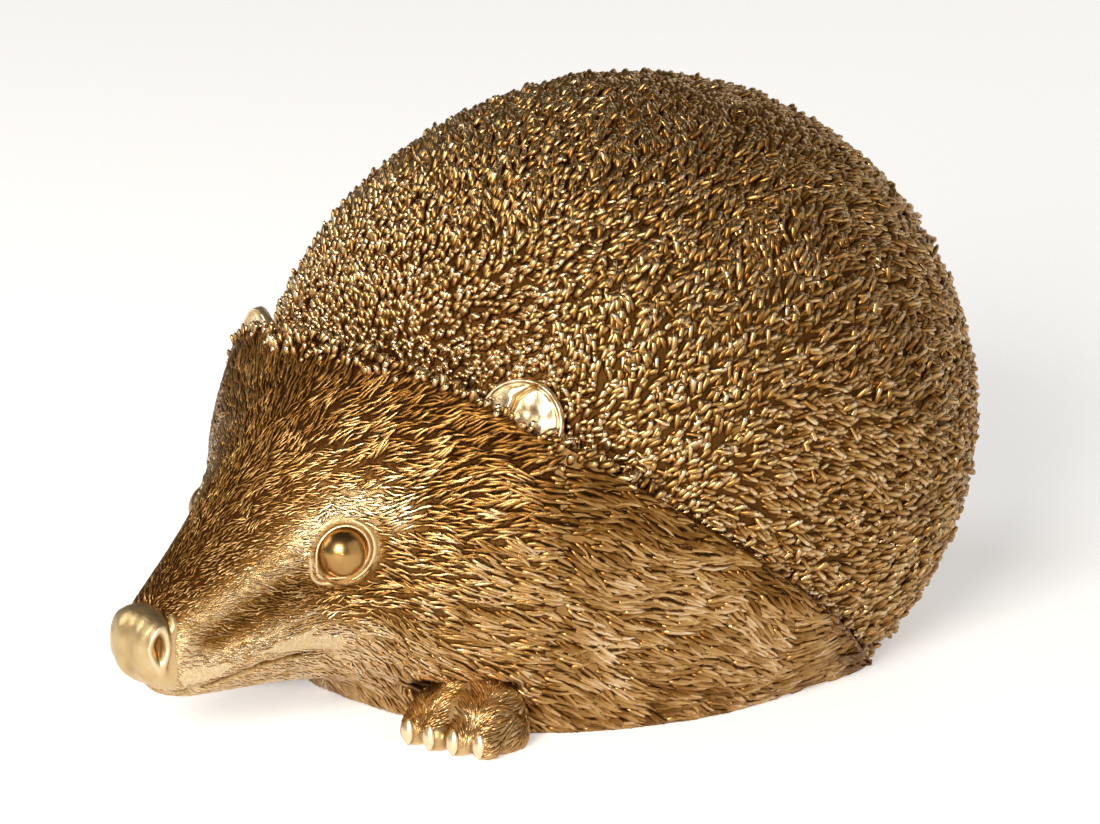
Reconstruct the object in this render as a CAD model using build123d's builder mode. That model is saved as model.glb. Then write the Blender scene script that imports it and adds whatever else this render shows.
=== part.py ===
"""Hedgehog figurine: a hollow coat of quills on a fur casting, with head, nose, eyes, ears and paws."""

import os
from collections import namedtuple
from math import cos, pi, radians, sin, sqrt

from build123d import *

# All lengths are in millimetres. The animal faces -Y, its left side is +X, and it stands on z = 0.

# Fits between the castings
CLEARANCE = 0.25
PEG_END_ROOM = 0.5

# The coat of quills, a shell of revolution about a level axis
COAT_CENTRE_Y = 27.0
COAT_CENTRE_Z = 39.0
COAT_RADIUS = 58.8
COAT_FRONT_REACH = 69.5
COAT_REAR_REACH = 61.4
COAT_WALL = 5.0

# Quills on the coat: keeled spikes that lean away from a point under the chin
QUILL_SPACING = 6.8
QUILL_SIDES = 3
QUILL_LENGTH = 5.2
QUILL_ROOT_RADIUS = 2.0
QUILL_TAPER = 8.8
QUILL_LIFT = 30.0
QUILL_SINK = 1.2
QUILL_EDGE_ROOM = 4.0
QUILL_SWEEP_FROM = (0.0, -60.0, 10.0)

# The sloping seat between the coat and the fur casting
SEAT_FRONT_Y = -37.8
SEAT_FRONT_Z = 60.0
SEAT_SLOPE = 37.2
LIP_THICKNESS = 2.5
LIP_HEIGHT = 4.0

# The fur casting
FUR_PROUD = 2.2
FLOOR_THICKNESS = 6.0
NECK_Y = -30.0
NECK_WALL = 8.0
NECK_PEG_RADIUS = 4.0
NECK_PEG_LENGTH = 5.0
NECK_PEG_X = 20.0
NECK_PEG_Z = 26.0

# Cross-sections of the fur: an upper and a lower half ellipse that meet at the widest level
Section = namedtuple("Section", "station half_width widest crown keel")
SNOUT_END = Section(station=-82.5, half_width=6.8, widest=21.0, crown=28.4, keel=12.8)
SNOUT = Section(station=-76.0, half_width=9.5, widest=21.0, crown=34.0, keel=10.5)
BRIDGE = Section(station=-67.0, half_width=13.2, widest=22.5, crown=42.2, keel=10.0)
BROW = Section(station=-56.0, half_width=18.9, widest=26.6, crown=54.6, keel=8.4)
HOOD = Section(station=-43.0, half_width=32.9, widest=34.0, crown=67.6, keel=3.8)
NECK = Section(station=NECK_Y, half_width=43.3, widest=37.0, crown=78.5, keel=-11.0)

# Flank stations behind the neck, with the level where each lower half ellipse would close
FLANK_STATIONS = (-11.0, 7.0, 27.0, 47.0)
FLANK_KEELS = (-30.0, -27.0, -22.0, -20.0)

# Mouth line, a curved slit seen from the side
MOUTH_FRONT = (-79.0, 11.0)
MOUTH_MIDDLE = (-68.0, 17.5)
MOUTH_CORNER = (-54.0, 15.5)
MOUTH_WIDTH = 0.9
MOUTH_DEPTH = 1.2

# Nose pad
NOSE_HALF_WIDTH = 7.1
NOSE_HALF_HEIGHT = 7.4
NOSE_DEPTH = 6.0
NOSE_PEG_RADIUS = 2.5
NOSE_PEG_LENGTH = 5.0
NOSTRIL_X = 5.0
NOSTRIL_RISE = 0.8
NOSTRIL_HALF_WIDTH = 1.2
NOSTRIL_HALF_HEIGHT = 2.8
NOSTRIL_DEPTH = 2.0
NOSE_GROOVE_WIDTH = 0.9
NOSE_GROOVE_DEPTH = 0.7

# Eyes, set in the brow section
EYE_RADIUS = 4.6
EYE_Z = 35.0
EYE_YAW = 40.0
EYE_PITCH = 12.0
EYE_SINK = 2.1
EYE_STALK_RADIUS = 1.8
EYE_STALK_LENGTH = 4.0
LID_RADIUS = 5.2
LID_THICKNESS = 0.9

# Ears, lying back on the coat just behind the seat
EAR_Y = -29.5
EAR_RADIUS = 7.4
EAR_THICKNESS = 2.6
EAR_RIM = 1.0
EAR_CUP_DEPTH = 1.4
EAR_RISE = 1.5
EAR_TILT = 4.0
EAR_ROUNDING = 0.5
EAR_PEG_RADIUS = 1.5
EAR_PEG_LENGTH = 4.0
EAR_PEG_OUT = 3.4

# Front paws
PAW_X = 27.4
PAW_HEEL_Y = -31.0
PAW_TOE_Y = -41.6
PAW_HEEL_HEIGHT = 11.0
PAW_HEEL_FOOT = 2.4
PAW_TOE_HEIGHT = 8.5
PAW_ROUNDING = 2.6
TOE_COUNT = 4
TOE_SPACING = 4.8
TOE_RADIUS = 2.7
KNUCKLE_HEIGHT = 6.2
FINGER_REACH = 6.0
TOE_SWEEP = 0.9
CLAW_RADIUS = 1.1
CLAW_TIP_RADIUS = 0.4
CLAW_LENGTH = 4.2
CLAW_DIP = 74.0
CLAW_OUT = 2.0
CLAW_HEIGHT = 4.6

# Felt under the floor
FELT_THICKNESS = 2.0
FELT_MARGIN = 5.0

SIDES = (("left", 1), ("right", -1))

seat = Plane(
    origin=(0, SEAT_FRONT_Y, SEAT_FRONT_Z),
    x_dir=(1, 0, 0),
    z_dir=(0, sin(radians(SEAT_SLOPE)), cos(radians(SEAT_SLOPE))),
)
ground = Plane.XY
neck = Plane(origin=(0, NECK_Y, 0), x_dir=(-1, 0, 0), z_dir=(0, 1, 0))
spigot_inset = COAT_WALL + CLEARANCE
cavity_inset = spigot_inset + LIP_THICKNESS
paw_width = (TOE_COUNT - 1) * TOE_SPACING + 2 * TOE_RADIUS


def coat_radius_at(y, inset=0.0):
    """Radius of the coat's round section at a station along its axis."""
    reach = (COAT_FRONT_REACH if y < COAT_CENTRE_Y else COAT_REAR_REACH) - inset
    return (COAT_RADIUS - inset) * sqrt(1 - ((y - COAT_CENTRE_Y) / reach) ** 2)


def coat_form(inset=0.0):
    """The whole egg that the coat is cut from, drawn in from its surface by an inset."""
    centre = (COAT_CENTRE_Y, COAT_CENTRE_Z)
    radius = COAT_RADIUS - inset
    rear = COAT_REAR_REACH - inset
    front = COAT_FRONT_REACH - inset
    with BuildPart() as form:
        with BuildSketch(Plane.YZ):
            with BuildLine():
                EllipticalCenterArc(centre, rear, radius, start_angle=0, arc_size=90)
                EllipticalCenterArc(centre, front, radius, start_angle=90, arc_size=90)
                Line((COAT_CENTRE_Y - front, COAT_CENTRE_Z), (COAT_CENTRE_Y + rear, COAT_CENTRE_Z))
            make_face()
        revolve(axis=Axis((0, COAT_CENTRE_Y, COAT_CENTRE_Z), (0, 1, 0)))
    return form.part


def coat_spot(share, turn):
    """Point on the coat and the normal there, by its share of the way to the rear and its turn."""
    flat = sqrt(1 - share**2)
    reach = COAT_FRONT_REACH if share < 0 else COAT_REAR_REACH
    way = Vector(flat * cos(turn), share, flat * sin(turn))
    offset = Vector(COAT_RADIUS * way.X, reach * way.Y, COAT_RADIUS * way.Z)
    normal = Vector(way.X / COAT_RADIUS, way.Y / reach, way.Z / COAT_RADIUS).normalized()
    return Vector(0, COAT_CENTRE_Y, COAT_CENTRE_Z) + offset, normal


def quill_planes(ear_centres):
    """Planes across the quills' roots, spread evenly on a spiral, clear of the ears and of the coat's rim."""
    mean_reach = (COAT_FRONT_REACH + COAT_REAR_REACH) / 2
    count = round(4 * pi * COAT_RADIUS * mean_reach / QUILL_SPACING**2)
    golden_angle = pi * (3 - sqrt(5))
    planes = []
    for index in range(count):
        place, normal = coat_spot(1 - (2 * index + 1) / count, index * golden_angle)
        height_over_rim = min(seat.to_local_coords(place).Z, place.Z)
        ear_gap = min((place - centre).length for centre in ear_centres) - EAR_RADIUS
        if height_over_rim > QUILL_EDGE_ROOM and ear_gap > QUILL_LENGTH:
            sweep = place - Vector(QUILL_SWEEP_FROM)
            back = (sweep - normal * sweep.dot(normal)).normalized()
            along = back * cos(radians(QUILL_LIFT)) + normal * sin(radians(QUILL_LIFT))
            planes.append(Plane(place - normal * QUILL_SINK, x_dir=back.cross(normal), z_dir=along))
    return planes


def flank_sections():
    """Sections behind the neck, which stand a little proud of the coat."""
    sections = []
    for station, keel in zip(FLANK_STATIONS, FLANK_KEELS):
        radius = coat_radius_at(station) + FUR_PROUD
        sections.append(Section(station, radius, COAT_CENTRE_Z, COAT_CENTRE_Z + radius, keel))
    return sections


def fur_form(inset=0.0):
    """The fur from the snout to the rump, lofted through its cross-sections."""
    with BuildPart() as form:
        for section in [SNOUT_END, SNOUT, BRIDGE, BROW, HOOD, NECK] + flank_sections():
            width = section.half_width - inset
            rise = section.crown - section.widest - inset
            drop = section.widest - section.keel - inset
            with BuildSketch(Plane.XZ.offset(-section.station)):
                with BuildLine():
                    EllipticalCenterArc((0, section.widest), width, rise, start_angle=0, arc_size=180)
                    EllipticalCenterArc((0, section.widest), width, drop, start_angle=180, arc_size=180)
                make_face()
        loft()
    return form.part


def section_point(section, z, side):
    """Point on the upper half of a section at a given level, on one side."""
    share = (z - section.widest) / (section.crown - section.widest)
    return Vector(side * section.half_width * sqrt(1 - share**2), section.station, z)


def eye_plane(side):
    """Plane at an eye's socket, on the skin of the brow, facing out."""
    flat = cos(radians(EYE_PITCH))
    facing = Vector(
        side * flat * cos(radians(EYE_YAW)),
        -flat * sin(radians(EYE_YAW)),
        sin(radians(EYE_PITCH)),
    )
    return Plane(origin=section_point(BROW, EYE_Z, side), z_dir=facing)


def ear_plane(side):
    """Plane at an ear's root, on the coat where it meets the seat; its Y runs to the ear's tip."""
    z = SEAT_FRONT_Z - (EAR_Y - SEAT_FRONT_Y) * sin(radians(SEAT_SLOPE)) / cos(radians(SEAT_SLOPE))
    x = sqrt(coat_radius_at(EAR_Y) ** 2 - (z - COAT_CENTRE_Z) ** 2)
    normal = Vector(
        side * x / COAT_RADIUS**2,
        (EAR_Y - COAT_CENTRE_Y) / COAT_FRONT_REACH**2,
        (z - COAT_CENTRE_Z) / COAT_RADIUS**2,
    )
    along = seat.z_dir.cross(normal)
    root = Plane(origin=(side * x, EAR_Y, z), x_dir=along, z_dir=normal)
    return root.rotated((EAR_TILT, 0, 0))


def paw_form(side, room=0.0):
    """The block of a paw from heel to toes, enlarged by some room to make its socket."""
    with BuildPart() as form:
        for y, foot, top in (
            (PAW_HEEL_Y + room, PAW_HEEL_FOOT, PAW_HEEL_HEIGHT),
            (PAW_TOE_Y, -PAW_TOE_HEIGHT, PAW_TOE_HEIGHT),
        ):
            with BuildSketch(Plane.XZ.offset(-y)):
                with Locations((side * PAW_X, (top + foot) / 2)):
                    RectangleRounded(paw_width + 2 * room, top - foot + 2 * room, PAW_ROUNDING)
        loft()
        split(bisect_by=ground, keep=Keep.TOP)
    return form.part


def felt_outline(room=0.0):
    """Outline of the felt on the ground, enlarged by some room to make its recess."""
    footprint = sqrt(1 - (COAT_CENTRE_Z / (COAT_RADIUS - spigot_inset)) ** 2)
    half_width = footprint * (COAT_RADIUS - spigot_inset) - FELT_MARGIN
    half_length = footprint * (COAT_REAR_REACH - spigot_inset) - FELT_MARGIN
    with BuildSketch(ground) as outline:
        with Locations((0, COAT_CENTRE_Y)):
            Ellipse(half_width + room, half_length + room)
    return outline.sketch


coat_egg = coat_form()
coat_hollow = coat_form(COAT_WALL)
spigot_egg = coat_form(spigot_inset)
cavity_egg = coat_form(cavity_inset)
coat_envelope = coat_form(-CLEARANCE)
fur = fur_form()
fur_core = fur_form(MOUTH_DEPTH)
paw_blocks = {side: paw_form(side) for name, side in SIDES}
paw_sockets = {side: paw_form(side, CLEARANCE) for name, side in SIDES}
felt_recess = felt_outline(CLEARANCE)
felt_face = felt_outline()
eye_planes = {side: eye_plane(side) for name, side in SIDES}
ear_planes = {side: ear_plane(side) for name, side in SIDES}
ear_discs = {side: root.moved(Location(root.y_dir * EAR_RISE)) for side, root in ear_planes.items()}

# Spigot that rises inside the coat, from the sloping seat and from the floor behind it
with BuildPart() as seat_spigot:
    add(spigot_egg)
    split(bisect_by=seat.offset(LIP_HEIGHT), keep=Keep.BOTTOM)

with BuildPart() as floor_spigot:
    add(spigot_egg)
    split(bisect_by=ground.offset(FLOOR_THICKNESS + LIP_HEIGHT), keep=Keep.BOTTOM)

# Hollow of the fur casting, above the floor and behind the wall at the neck
with BuildPart() as cavity:
    add(cavity_egg)
    split(bisect_by=ground.offset(FLOOR_THICKNESS), keep=Keep.TOP)
    split(bisect_by=neck.offset(NECK_WALL), keep=Keep.TOP)

# The fur casting in one, before the neck parts it
with BuildPart() as casting:
    add(fur)
    split(bisect_by=seat, keep=Keep.BOTTOM)
    add(seat_spigot.part)
    add(floor_spigot.part)
    split(bisect_by=ground, keep=Keep.TOP)
    add(cavity.part, mode=Mode.SUBTRACT)

# Slit of the mouth, as deep as the skin
with BuildPart() as mouth_slit:
    with BuildSketch(Plane.YZ):
        with BuildLine():
            mouth_line = ThreePointArc(MOUTH_FRONT, MOUTH_MIDDLE, MOUTH_CORNER)
        trace(lines=mouth_line, line_width=MOUTH_WIDTH)
    extrude(amount=BROW.half_width, both=True)
    add(fur_core, mode=Mode.SUBTRACT)

# Belly: flanks and floor
with BuildPart() as belly:
    add(casting.part)
    split(bisect_by=neck, keep=Keep.TOP)
    with Locations(neck):
        with Locations((-NECK_PEG_X, NECK_PEG_Z), (NECK_PEG_X, NECK_PEG_Z)):
            Cylinder(
                NECK_PEG_RADIUS + CLEARANCE,
                NECK_PEG_LENGTH + PEG_END_ROOM,
                align=(Align.CENTER, Align.CENTER, Align.MIN),
                mode=Mode.SUBTRACT,
            )
    extrude(felt_recess, amount=FELT_THICKNESS, mode=Mode.SUBTRACT)
belly.part.label = "belly"

# Head: snout, brow, cape and chest
with BuildPart() as head:
    add(casting.part)
    split(bisect_by=neck, keep=Keep.BOTTOM)
    with Locations(neck):
        with Locations((-NECK_PEG_X, NECK_PEG_Z), (NECK_PEG_X, NECK_PEG_Z)):
            Cylinder(NECK_PEG_RADIUS, NECK_PEG_LENGTH, align=(Align.CENTER, Align.CENTER, Align.MIN))
    add(mouth_slit.part, mode=Mode.SUBTRACT)
    for name, side in SIDES:
        with Locations(eye_planes[side]):
            Torus(LID_RADIUS, LID_THICKNESS)
        with Locations(eye_planes[side].offset(-EYE_SINK)):
            Sphere(EYE_RADIUS + CLEARANCE, mode=Mode.SUBTRACT)
            Cylinder(
                EYE_STALK_RADIUS + CLEARANCE,
                EYE_RADIUS + EYE_STALK_LENGTH + PEG_END_ROOM,
                align=(Align.CENTER, Align.CENTER, Align.MAX),
                mode=Mode.SUBTRACT,
            )
        add(paw_sockets[side], mode=Mode.SUBTRACT)
    with Locations(Plane(origin=(0, SNOUT_END.station, SNOUT_END.widest), z_dir=(0, 1, 0))):
        Cylinder(
            NOSE_PEG_RADIUS + CLEARANCE,
            NOSE_PEG_LENGTH + PEG_END_ROOM,
            align=(Align.CENTER, Align.CENTER, Align.MIN),
            mode=Mode.SUBTRACT,
        )
head.part.label = "head"


def nose_egg(inset=0.0):
    """Egg that the nose pad is the front half of."""
    radii = (NOSE_HALF_WIDTH - inset, NOSE_DEPTH - inset, NOSE_HALF_HEIGHT - inset)
    with BuildPart() as form:
        Sphere(1)
        scale(by=radii)
    return form.part.moved(Location((0, SNOUT_END.station, SNOUT_END.widest)))


nose_front = Plane(origin=(0, SNOUT_END.station, SNOUT_END.widest), x_dir=(1, 0, 0), z_dir=(0, -1, 0))
nose_pad = nose_egg()
nose_core = nose_egg(NOSE_GROOVE_DEPTH)

with BuildPart() as nostril_egg:
    Sphere(1)
    scale(by=(NOSTRIL_HALF_WIDTH, NOSTRIL_DEPTH, NOSTRIL_HALF_HEIGHT))

with BuildPart() as nose_groove:
    with Locations((0, SNOUT_END.station, SNOUT_END.widest)):
        Box(NOSE_GROOVE_WIDTH, 2 * NOSE_DEPTH, 2 * NOSE_HALF_HEIGHT)
    add(nose_core, mode=Mode.SUBTRACT)

# Nose pad with its nostrils, groove and peg
with BuildPart() as nose:
    add(nose_pad)
    split(bisect_by=nose_front, keep=Keep.TOP)
    add(nose_groove.part, mode=Mode.SUBTRACT)
    for name, side in SIDES:
        skin = NOSE_DEPTH * sqrt(1 - (NOSTRIL_X / NOSE_HALF_WIDTH) ** 2)
        place = Location((side * NOSTRIL_X, SNOUT_END.station - skin, SNOUT_END.widest + NOSTRIL_RISE))
        add(nostril_egg.part.moved(place), mode=Mode.SUBTRACT)
    with Locations(nose_front):
        Cylinder(NOSE_PEG_RADIUS, NOSE_PEG_LENGTH, align=(Align.CENTER, Align.CENTER, Align.MAX))
nose.part.label = "nose"

# One quill, standing on its root with its keel to -Y
with BuildPart() as quill:
    with BuildSketch():
        RegularPolygon(QUILL_ROOT_RADIUS, QUILL_SIDES, rotation=-90)
    extrude(amount=QUILL_LENGTH, taper=QUILL_TAPER)

# Coat with its quills and the sockets of the ears
with BuildPart() as quill_coat:
    add(coat_egg)
    add(coat_hollow, mode=Mode.SUBTRACT)
    split(bisect_by=seat, keep=Keep.TOP)
    split(bisect_by=ground, keep=Keep.TOP)
    with Locations(*quill_planes([disc.origin for disc in ear_discs.values()])):
        add(quill.part)
    for name, side in SIDES:
        with Locations(ear_planes[side]):
            with Locations((0, EAR_PEG_OUT, 0)):
                Cylinder(
                    EAR_PEG_RADIUS + CLEARANCE,
                    EAR_PEG_LENGTH + PEG_END_ROOM,
                    align=(Align.CENTER, Align.CENTER, Align.MAX),
                    mode=Mode.SUBTRACT,
                )
quill_coat.part.label = "quill_coat"

eyes = {}
ears = {}
paws = {}
for name, side in SIDES:
    # Eye: a ball on a stalk
    with BuildPart() as eye:
        with Locations(eye_planes[side].offset(-EYE_SINK)):
            Sphere(EYE_RADIUS)
            Cylinder(
                EYE_STALK_RADIUS,
                EYE_RADIUS + EYE_STALK_LENGTH,
                align=(Align.CENTER, Align.CENTER, Align.MAX),
            )
    eye.part.label = f"{name}_eye"
    eyes[name] = eye.part

    # Ear: a cupped disc, cut to the coat behind it and the seat below it, with a peg
    cup_radius = EAR_RADIUS - EAR_RIM
    cup_sphere = (cup_radius**2 + EAR_CUP_DEPTH**2) / (2 * EAR_CUP_DEPTH)
    with BuildPart() as ear:
        with Locations(ear_discs[side]):
            Cylinder(EAR_RADIUS, 2 * EAR_THICKNESS)
        fillet(ear.edges().filter_by(GeomType.CIRCLE), EAR_ROUNDING)
        with Locations(ear_discs[side].offset(EAR_THICKNESS - EAR_CUP_DEPTH + cup_sphere)):
            Sphere(cup_sphere, mode=Mode.SUBTRACT)
        add(coat_envelope, mode=Mode.SUBTRACT)
        split(bisect_by=seat.offset(CLEARANCE), keep=Keep.TOP)
        with Locations(ear_planes[side]):
            with Locations((0, EAR_PEG_OUT, 0)):
                Cylinder(
                    EAR_PEG_RADIUS,
                    EAR_PEG_LENGTH,
                    align=(Align.CENTER, Align.CENTER, Align.MAX),
                )
    ear.part.label = f"{name}_ear"
    ears[name] = ear.part

    # Paw: a block with four toes and claws
    with BuildPart() as paw:
        add(paw_blocks[side])
        for toe in range(TOE_COUNT):
            across = (toe - (TOE_COUNT - 1) / 2) * TOE_SPACING
            toe_y = PAW_TOE_Y + abs(across) * TOE_SWEEP / TOE_SPACING
            with Locations((side * PAW_X + across, toe_y, TOE_RADIUS)):
                Sphere(TOE_RADIUS)
            knuckle = Vector(side * PAW_X + across, toe_y + FINGER_REACH, KNUCKLE_HEIGHT)
            finger = Vector(side * PAW_X + across, toe_y, TOE_RADIUS) - knuckle
            with Locations(Plane(origin=knuckle, z_dir=finger)):
                Cylinder(TOE_RADIUS, finger.length, align=(Align.CENTER, Align.CENTER, Align.MIN))
            claw_root = Plane(
                origin=(side * PAW_X + across, toe_y - CLAW_OUT, CLAW_HEIGHT),
                z_dir=(0, -cos(radians(CLAW_DIP)), -sin(radians(CLAW_DIP))),
            )
            with Locations(claw_root):
                Cone(CLAW_RADIUS, CLAW_TIP_RADIUS, CLAW_LENGTH, align=(Align.CENTER, Align.CENTER, Align.MIN))
        split(bisect_by=ground, keep=Keep.TOP)
    paw.part.label = f"{name}_front_paw"
    paws[name] = paw.part

# Felt, flush with the ground
with BuildPart() as felt_pad:
    extrude(felt_face, amount=FELT_THICKNESS)
felt_pad.part.label = "felt_pad"

os.makedirs("parts", exist_ok=True)
export_step(quill_coat.part, "parts/quill_coat.step")
export_step(belly.part, "parts/belly.step")
export_step(head.part, "parts/head.step")
export_step(nose.part, "parts/nose.step")
export_step(felt_pad.part, "parts/felt_pad.step")
for name, side in SIDES:
    export_step(eyes[name], f"parts/{name}_eye.step")
    export_step(ears[name], f"parts/{name}_ear.step")
    export_step(paws[name], f"parts/{name}_front_paw.step")
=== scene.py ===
"""Dresses the hedgehog figurine in antique gold: quills, fur, face, ears and paws on a pale studio floor."""

import math

import bmesh
import bpy
import numpy as np
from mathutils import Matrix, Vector
from mathutils.bvhtree import BVHTree
from mathutils.kdtree import KDTree


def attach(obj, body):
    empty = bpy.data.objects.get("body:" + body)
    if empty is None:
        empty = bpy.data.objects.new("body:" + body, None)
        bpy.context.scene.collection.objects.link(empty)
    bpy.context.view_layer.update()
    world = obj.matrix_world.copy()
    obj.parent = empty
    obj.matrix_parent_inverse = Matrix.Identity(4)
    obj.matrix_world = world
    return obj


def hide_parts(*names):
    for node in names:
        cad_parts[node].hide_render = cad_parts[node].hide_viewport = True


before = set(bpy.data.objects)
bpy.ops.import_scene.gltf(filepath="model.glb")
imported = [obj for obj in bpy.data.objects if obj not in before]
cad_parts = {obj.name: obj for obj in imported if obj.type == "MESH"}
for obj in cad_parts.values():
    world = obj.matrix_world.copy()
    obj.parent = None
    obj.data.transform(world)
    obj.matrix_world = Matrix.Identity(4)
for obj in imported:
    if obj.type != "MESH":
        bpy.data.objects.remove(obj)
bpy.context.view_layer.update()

# Shapes are worked out in millimetres in the frame's axes: the animal faces -Y and its left side is +X.
MM = 0.001
SIDES = (("left", 1), ("right", -1))
ACROSS, ALONG, UP = np.eye(3)

# Camera, as the photograph was taken
PICTURE_WIDTH = 1100
FOCAL_PIXELS = 5788.3
SENSOR_WIDTH = 36.0
VIEW_AZIMUTH = 47.0
VIEW_ELEVATION = 16.0
VIEW_DISTANCE = 1000.0
VIEW_TARGET = (6.4, 1.6, 45.4)

# Coat: an egg, cut along a sloping seat
COAT_CENTRE = np.array([0.0, 27.0, 39.0])
COAT_RADIUS = 58.8
COAT_FRONT_REACH = 69.5
COAT_REAR_REACH = 61.4
COAT_SEAT_LAP = 1.0
SEAT_FRONT = np.array([0.0, -37.8, 60.0])
SEAT_SLOPE = math.radians(37.2)

seat_normal = np.array([0.0, math.sin(SEAT_SLOPE), math.cos(SEAT_SLOPE)])


# Numbers, lines and directions


def unit(vectors):
    """Vectors scaled to length one."""
    return vectors / np.maximum(np.linalg.norm(vectors, axis=-1, keepdims=True), 1e-9)


def eased(low, high, values):
    """Eases from 0 at low to 1 at high."""
    share = np.clip((values - low) / (high - low), 0.0, 1.0)
    return share * share * (3 - 2 * share)


def bell(values, width):
    """1 at zero, fading to both sides over a width."""
    return np.exp(-((values / width) ** 2))


def turned(start, end, angle):
    """Directions turned by an angle from a start towards an end square to it."""
    return start * np.cos(angle)[..., None] + end * np.sin(angle)[..., None]


def along_plane(vectors, normals):
    """The part of each vector across its normal, at length one."""
    return unit(vectors - np.sum(vectors * normals, axis=-1, keepdims=True) * normals)


def seat_height(points):
    """Height of points over the sloping seat."""
    return (points - SEAT_FRONT) @ seat_normal


def path_distance(points, path):
    """Distance from each point to a line of straight runs."""
    path = np.asarray(path, dtype=float)
    nearest = np.full(len(points), np.inf)
    for start, end in zip(path[:-1], path[1:]):
        run = end - start
        share = np.clip((points - start) @ run / (run @ run), 0.0, 1.0)
        nearest = np.minimum(nearest, np.linalg.norm(points - start - share[:, None] * run, axis=1))
    return nearest


def near(points, path, reach):
    """Closeness to a line, 1 on it and fading over its reach."""
    return bell(path_distance(points, path), reach)


def line_sum(points, lines):
    """What lines, each with a strength and a reach, add at points."""
    return sum(strength * near(points, path, reach) for path, strength, reach in lines)


def swirl(points, size, rng):
    """Smooth noise between about -1 and 1 that varies over a size."""
    waves = rng.normal(size=(12, 3)) / size
    starts = rng.uniform(0, 2 * math.pi, 12)
    return np.sin(points @ waves.T + starts).sum(axis=1) / math.sqrt(6)


def mirrored(points):
    """Points folded onto the left side."""
    folded = points.copy()
    folded[:, 0] = np.abs(folded[:, 0])
    return folded


# Camera, lights and sky


def view_direction(azimuth, elevation):
    """From the object towards a viewer or light, by degrees from the front and up."""
    turn, rise = math.radians(azimuth), math.radians(elevation)
    return Vector((math.sin(turn) * math.cos(rise), -math.cos(turn) * math.cos(rise), math.sin(rise)))


def fill(tree, sockets, inputs):
    """Sets or links the inputs of a node."""
    for label, value in inputs.items():
        if isinstance(value, bpy.types.NodeSocket):
            tree.links.new(value, sockets[label])
        else:
            sockets[label].default_value = value


def add_node(tree, kind, inputs):
    """A new node with its inputs."""
    node = tree.nodes.new(kind)
    fill(tree, node.inputs, inputs)
    return node


def ramp_colour(tree, value, stops):
    """The colour for a value on a new ramp of stops."""
    ramp = add_node(tree, "ShaderNodeValToRGB", {"Fac": value})
    elements = ramp.color_ramp.elements
    for index, (place, colour) in enumerate(stops):
        stop = elements[index] if index < 2 else elements.new(place)
        stop.position = place
        stop.color = (*colour, 1.0)
    return ramp.outputs["Color"]


camera_data = bpy.data.cameras.new("camera")
camera_data.sensor_fit = "HORIZONTAL"
camera_data.sensor_width = SENSOR_WIDTH
camera_data.lens = SENSOR_WIDTH * FOCAL_PIXELS / PICTURE_WIDTH
camera = bpy.data.objects.new("camera", camera_data)
camera_back = view_direction(VIEW_AZIMUTH, VIEW_ELEVATION)
camera.location = (Vector(VIEW_TARGET) + camera_back * VIEW_DISTANCE) * MM
camera.rotation_euler = camera_back.to_track_quat("Z", "Y").to_euler()
bpy.context.scene.collection.objects.link(camera)
bpy.context.scene.camera = camera
bpy.context.scene.view_settings.view_transform = "Standard"

WARM_WHITE = (1.0, 0.96, 0.9)
SOFT_WHITE = (1.0, 0.98, 0.95)
# Square softboxes: azimuth and elevation in degrees, distance and size in metres, power in watts, colour
LIGHTS = {
    "key_light": (28, 24, 1.1, 0.42, 16.0, WARM_WHITE),
    "fill_light": (100, 20, 1.3, 1.3, 4.2, WARM_WHITE),
    "side_light": (-50, 30, 1.3, 0.7, 6.0, SOFT_WHITE),
    "rear_light": (200, 26, 1.4, 1.3, 4.0, WARM_WHITE),
}
for name, (azimuth, elevation, distance, size, power, colour) in LIGHTS.items():
    light = bpy.data.lights.new(name, "AREA")
    light.shape = "SQUARE"
    light.size = size
    light.energy = power
    light.color = colour
    lamp = bpy.data.objects.new(name, light)
    away = view_direction(azimuth, elevation)
    lamp.location = Vector(VIEW_TARGET) * MM + away * distance
    lamp.rotation_euler = away.to_track_quat("Z", "Y").to_euler()
    bpy.context.scene.collection.objects.link(lamp)

SKY_STOPS = ((0.1, (0.2, 0.19, 0.175)), (0.75, (0.06, 0.055, 0.048)))
world = bpy.data.worlds.new("studio")
bpy.context.scene.world = world
world.use_nodes = True
sky = world.node_tree
sky_place = sky.nodes.new("ShaderNodeTexCoord").outputs["Generated"]
sky_height = add_node(sky, "ShaderNodeSeparateXYZ", {"Vector": sky_place}).outputs["Z"]
fill(sky, sky.nodes["Background"].inputs, {"Color": ramp_colour(sky, sky_height, SKY_STOPS)})


# Materials and floor

PATINA = (0.05, 0.016, 0.002)
BROWN_GOLD = (0.215, 0.098, 0.02)
GOLD = (0.5, 0.3, 0.11)
POLISHED_GOLD = (0.56, 0.4, 0.19)
PALE_GOLD = (0.84, 0.68, 0.46)
GOLD_STOPS = ((0.0, PATINA), (1.0, PALE_GOLD), (0.3, BROWN_GOLD), (0.62, GOLD))
POLISH_STOPS = ((0.0, PATINA), (1.0, PALE_GOLD), (0.3, BROWN_GOLD), (0.62, POLISHED_GOLD))
GOLD_SPECULAR = 0.2
PATINA_METAL = 0.85
METAL_FROM = 0.45
BUMP_DEPTH = 0.0003
FELT_STOPS = ((0.0, (0.048, 0.036, 0.028)), (1.0, (0.06, 0.045, 0.035)))
FELT_GRAIN = 900.0
FELT_ROUGHNESS = 0.95
FLOOR_COLOUR = (0.88, 0.88, 0.88, 1.0)
FLOOR_ROUGHNESS = 0.7
FLOOR_GLOW = 0.41
FLOOR_HALF = 3.0


def new_material(name):
    """A material, its node tree and the inputs of its shader."""
    material = bpy.data.materials.new(name)
    material.use_nodes = True
    return material, material.node_tree, material.node_tree.nodes["Principled BSDF"].inputs


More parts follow.
